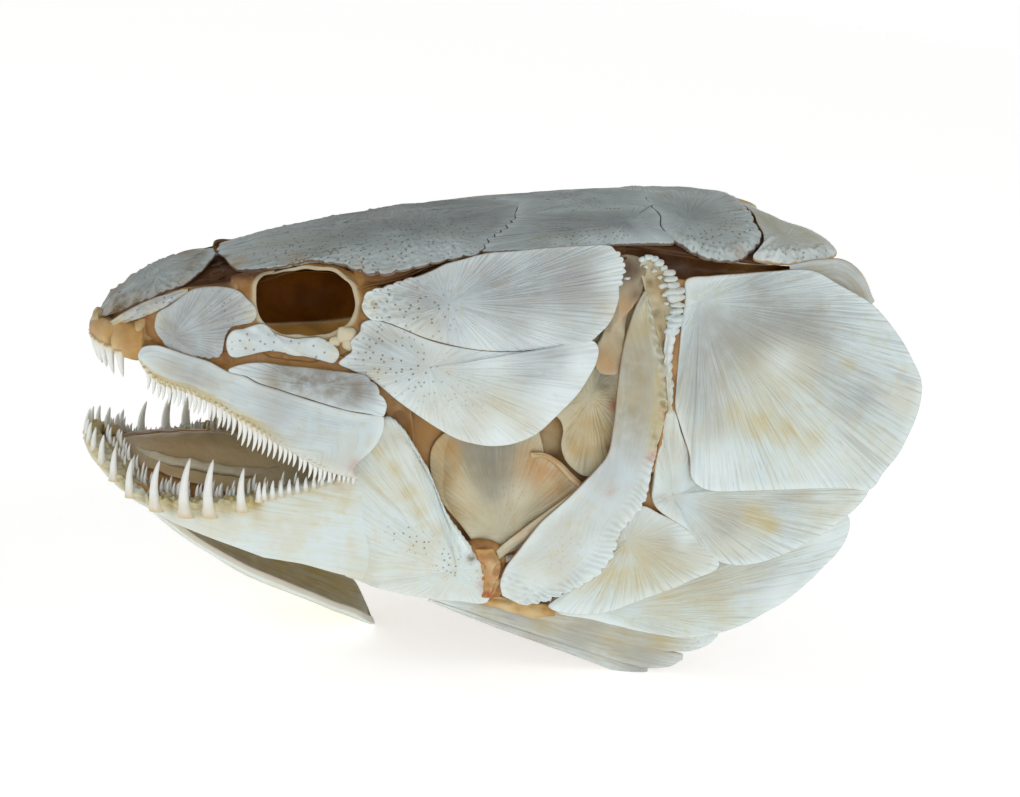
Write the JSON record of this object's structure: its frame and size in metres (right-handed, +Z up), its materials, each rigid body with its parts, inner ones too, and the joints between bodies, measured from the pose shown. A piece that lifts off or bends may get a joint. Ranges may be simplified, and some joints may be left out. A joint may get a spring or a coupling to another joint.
{
  "type": "bowfin fish skull",
  "caption": "Dry skull of a large freshwater fish with mouth agape, toothed jaws, roofing and cheek plates, fanned gill covers and a throat plate; stands on its throat bones.",
  "frame": {"origin": "middle of the bounding box at floor level, under the throat", "axes": "+X towards the gill covers, away from the snout; -Y the fish's left side; +Z up"},
  "size_m": [0.1488, 0.0662, 0.0904],
  "materials": {
    "bone_white": "dry bone, matt to satin, striated",
    "bone_cream": "dry bone with cream stain",
    "bone_grey": "dry pitted bone",
    "bone_ochre": "thin bone with ochre stain",
    "dried_tissue": "dried skin and ligament, dull sheen"
  },
  "bodies": {
    "root": {"angular_left": "bone_cream", "angular_right": "bone_cream", "antorbital_left": "bone_white", "antorbital_right": "bone_white", "braincase": "bone_ochre", "branchiostegal_lower_left": "bone_white", "branchiostegal_lower_right": "bone_white", "branchiostegal_upper_left": "bone_white", "branchiostegal_upper_right": "bone_white", "cheek_wall_left": "dried_tissue", "cheek_wall_right": "dried_tissue", "dentary_left": "bone_cream", "dentary_right": "bone_cream", "extrascapular_left": "bone_grey", "extrascapular_right": "bone_grey", "frontal_left": "bone_grey", "frontal_right": "bone_grey", "gular_plate": "bone_cream", "hyomandibula_left": "bone_grey", "hyomandibula_right": "bone_grey", "infraorbital_left": "bone_white", "infraorbital_right": "bone_white", "interopercle_left": "bone_white", "interopercle_right": "bone_white", "lacrimal_left": "bone_white", "lacrimal_right": "bone_white", "maxilla_left": "bone_white", "maxilla_right": "bone_white", "nasal_left": "bone_grey", "nasal_right": "bone_grey", "opercle_left": "bone_white", "opercle_right": "bone_white", "orbit_lining_left": "dried_tissue", "orbit_lining_right": "dried_tissue", "parasphenoid": "bone_ochre", "parietal_left": "bone_grey", "parietal_right": "bone_grey", "postorbital_lower_left": "bone_white", "postorbital_lower_right": "bone_white", "postorbital_upper_left": "bone_white", "postorbital_upper_right": "bone_white", "posttemporal_left": "bone_white", "posttemporal_right": "bone_white", "premaxilla_left": "bone_cream", "premaxilla_right": "bone_cream", "preopercle_left": "bone_white", "preopercle_right": "bone_white", "pterotic_left": "bone_grey", "pterotic_right": "bone_grey", "pterygoid_left": "bone_ochre", "pterygoid_right": "bone_ochre", "quadrate_left": "bone_ochre", "quadrate_right": "bone_ochre", "rostral": "bone_ochre", "subopercle_left": "bone_white", "subopercle_right": "bone_white", "supracleithrum_left": "bone_white", "supracleithrum_right": "bone_white", "supramaxilla_left": "bone_white", "supramaxilla_right": "bone_white"}
  },
  "joints": []
}
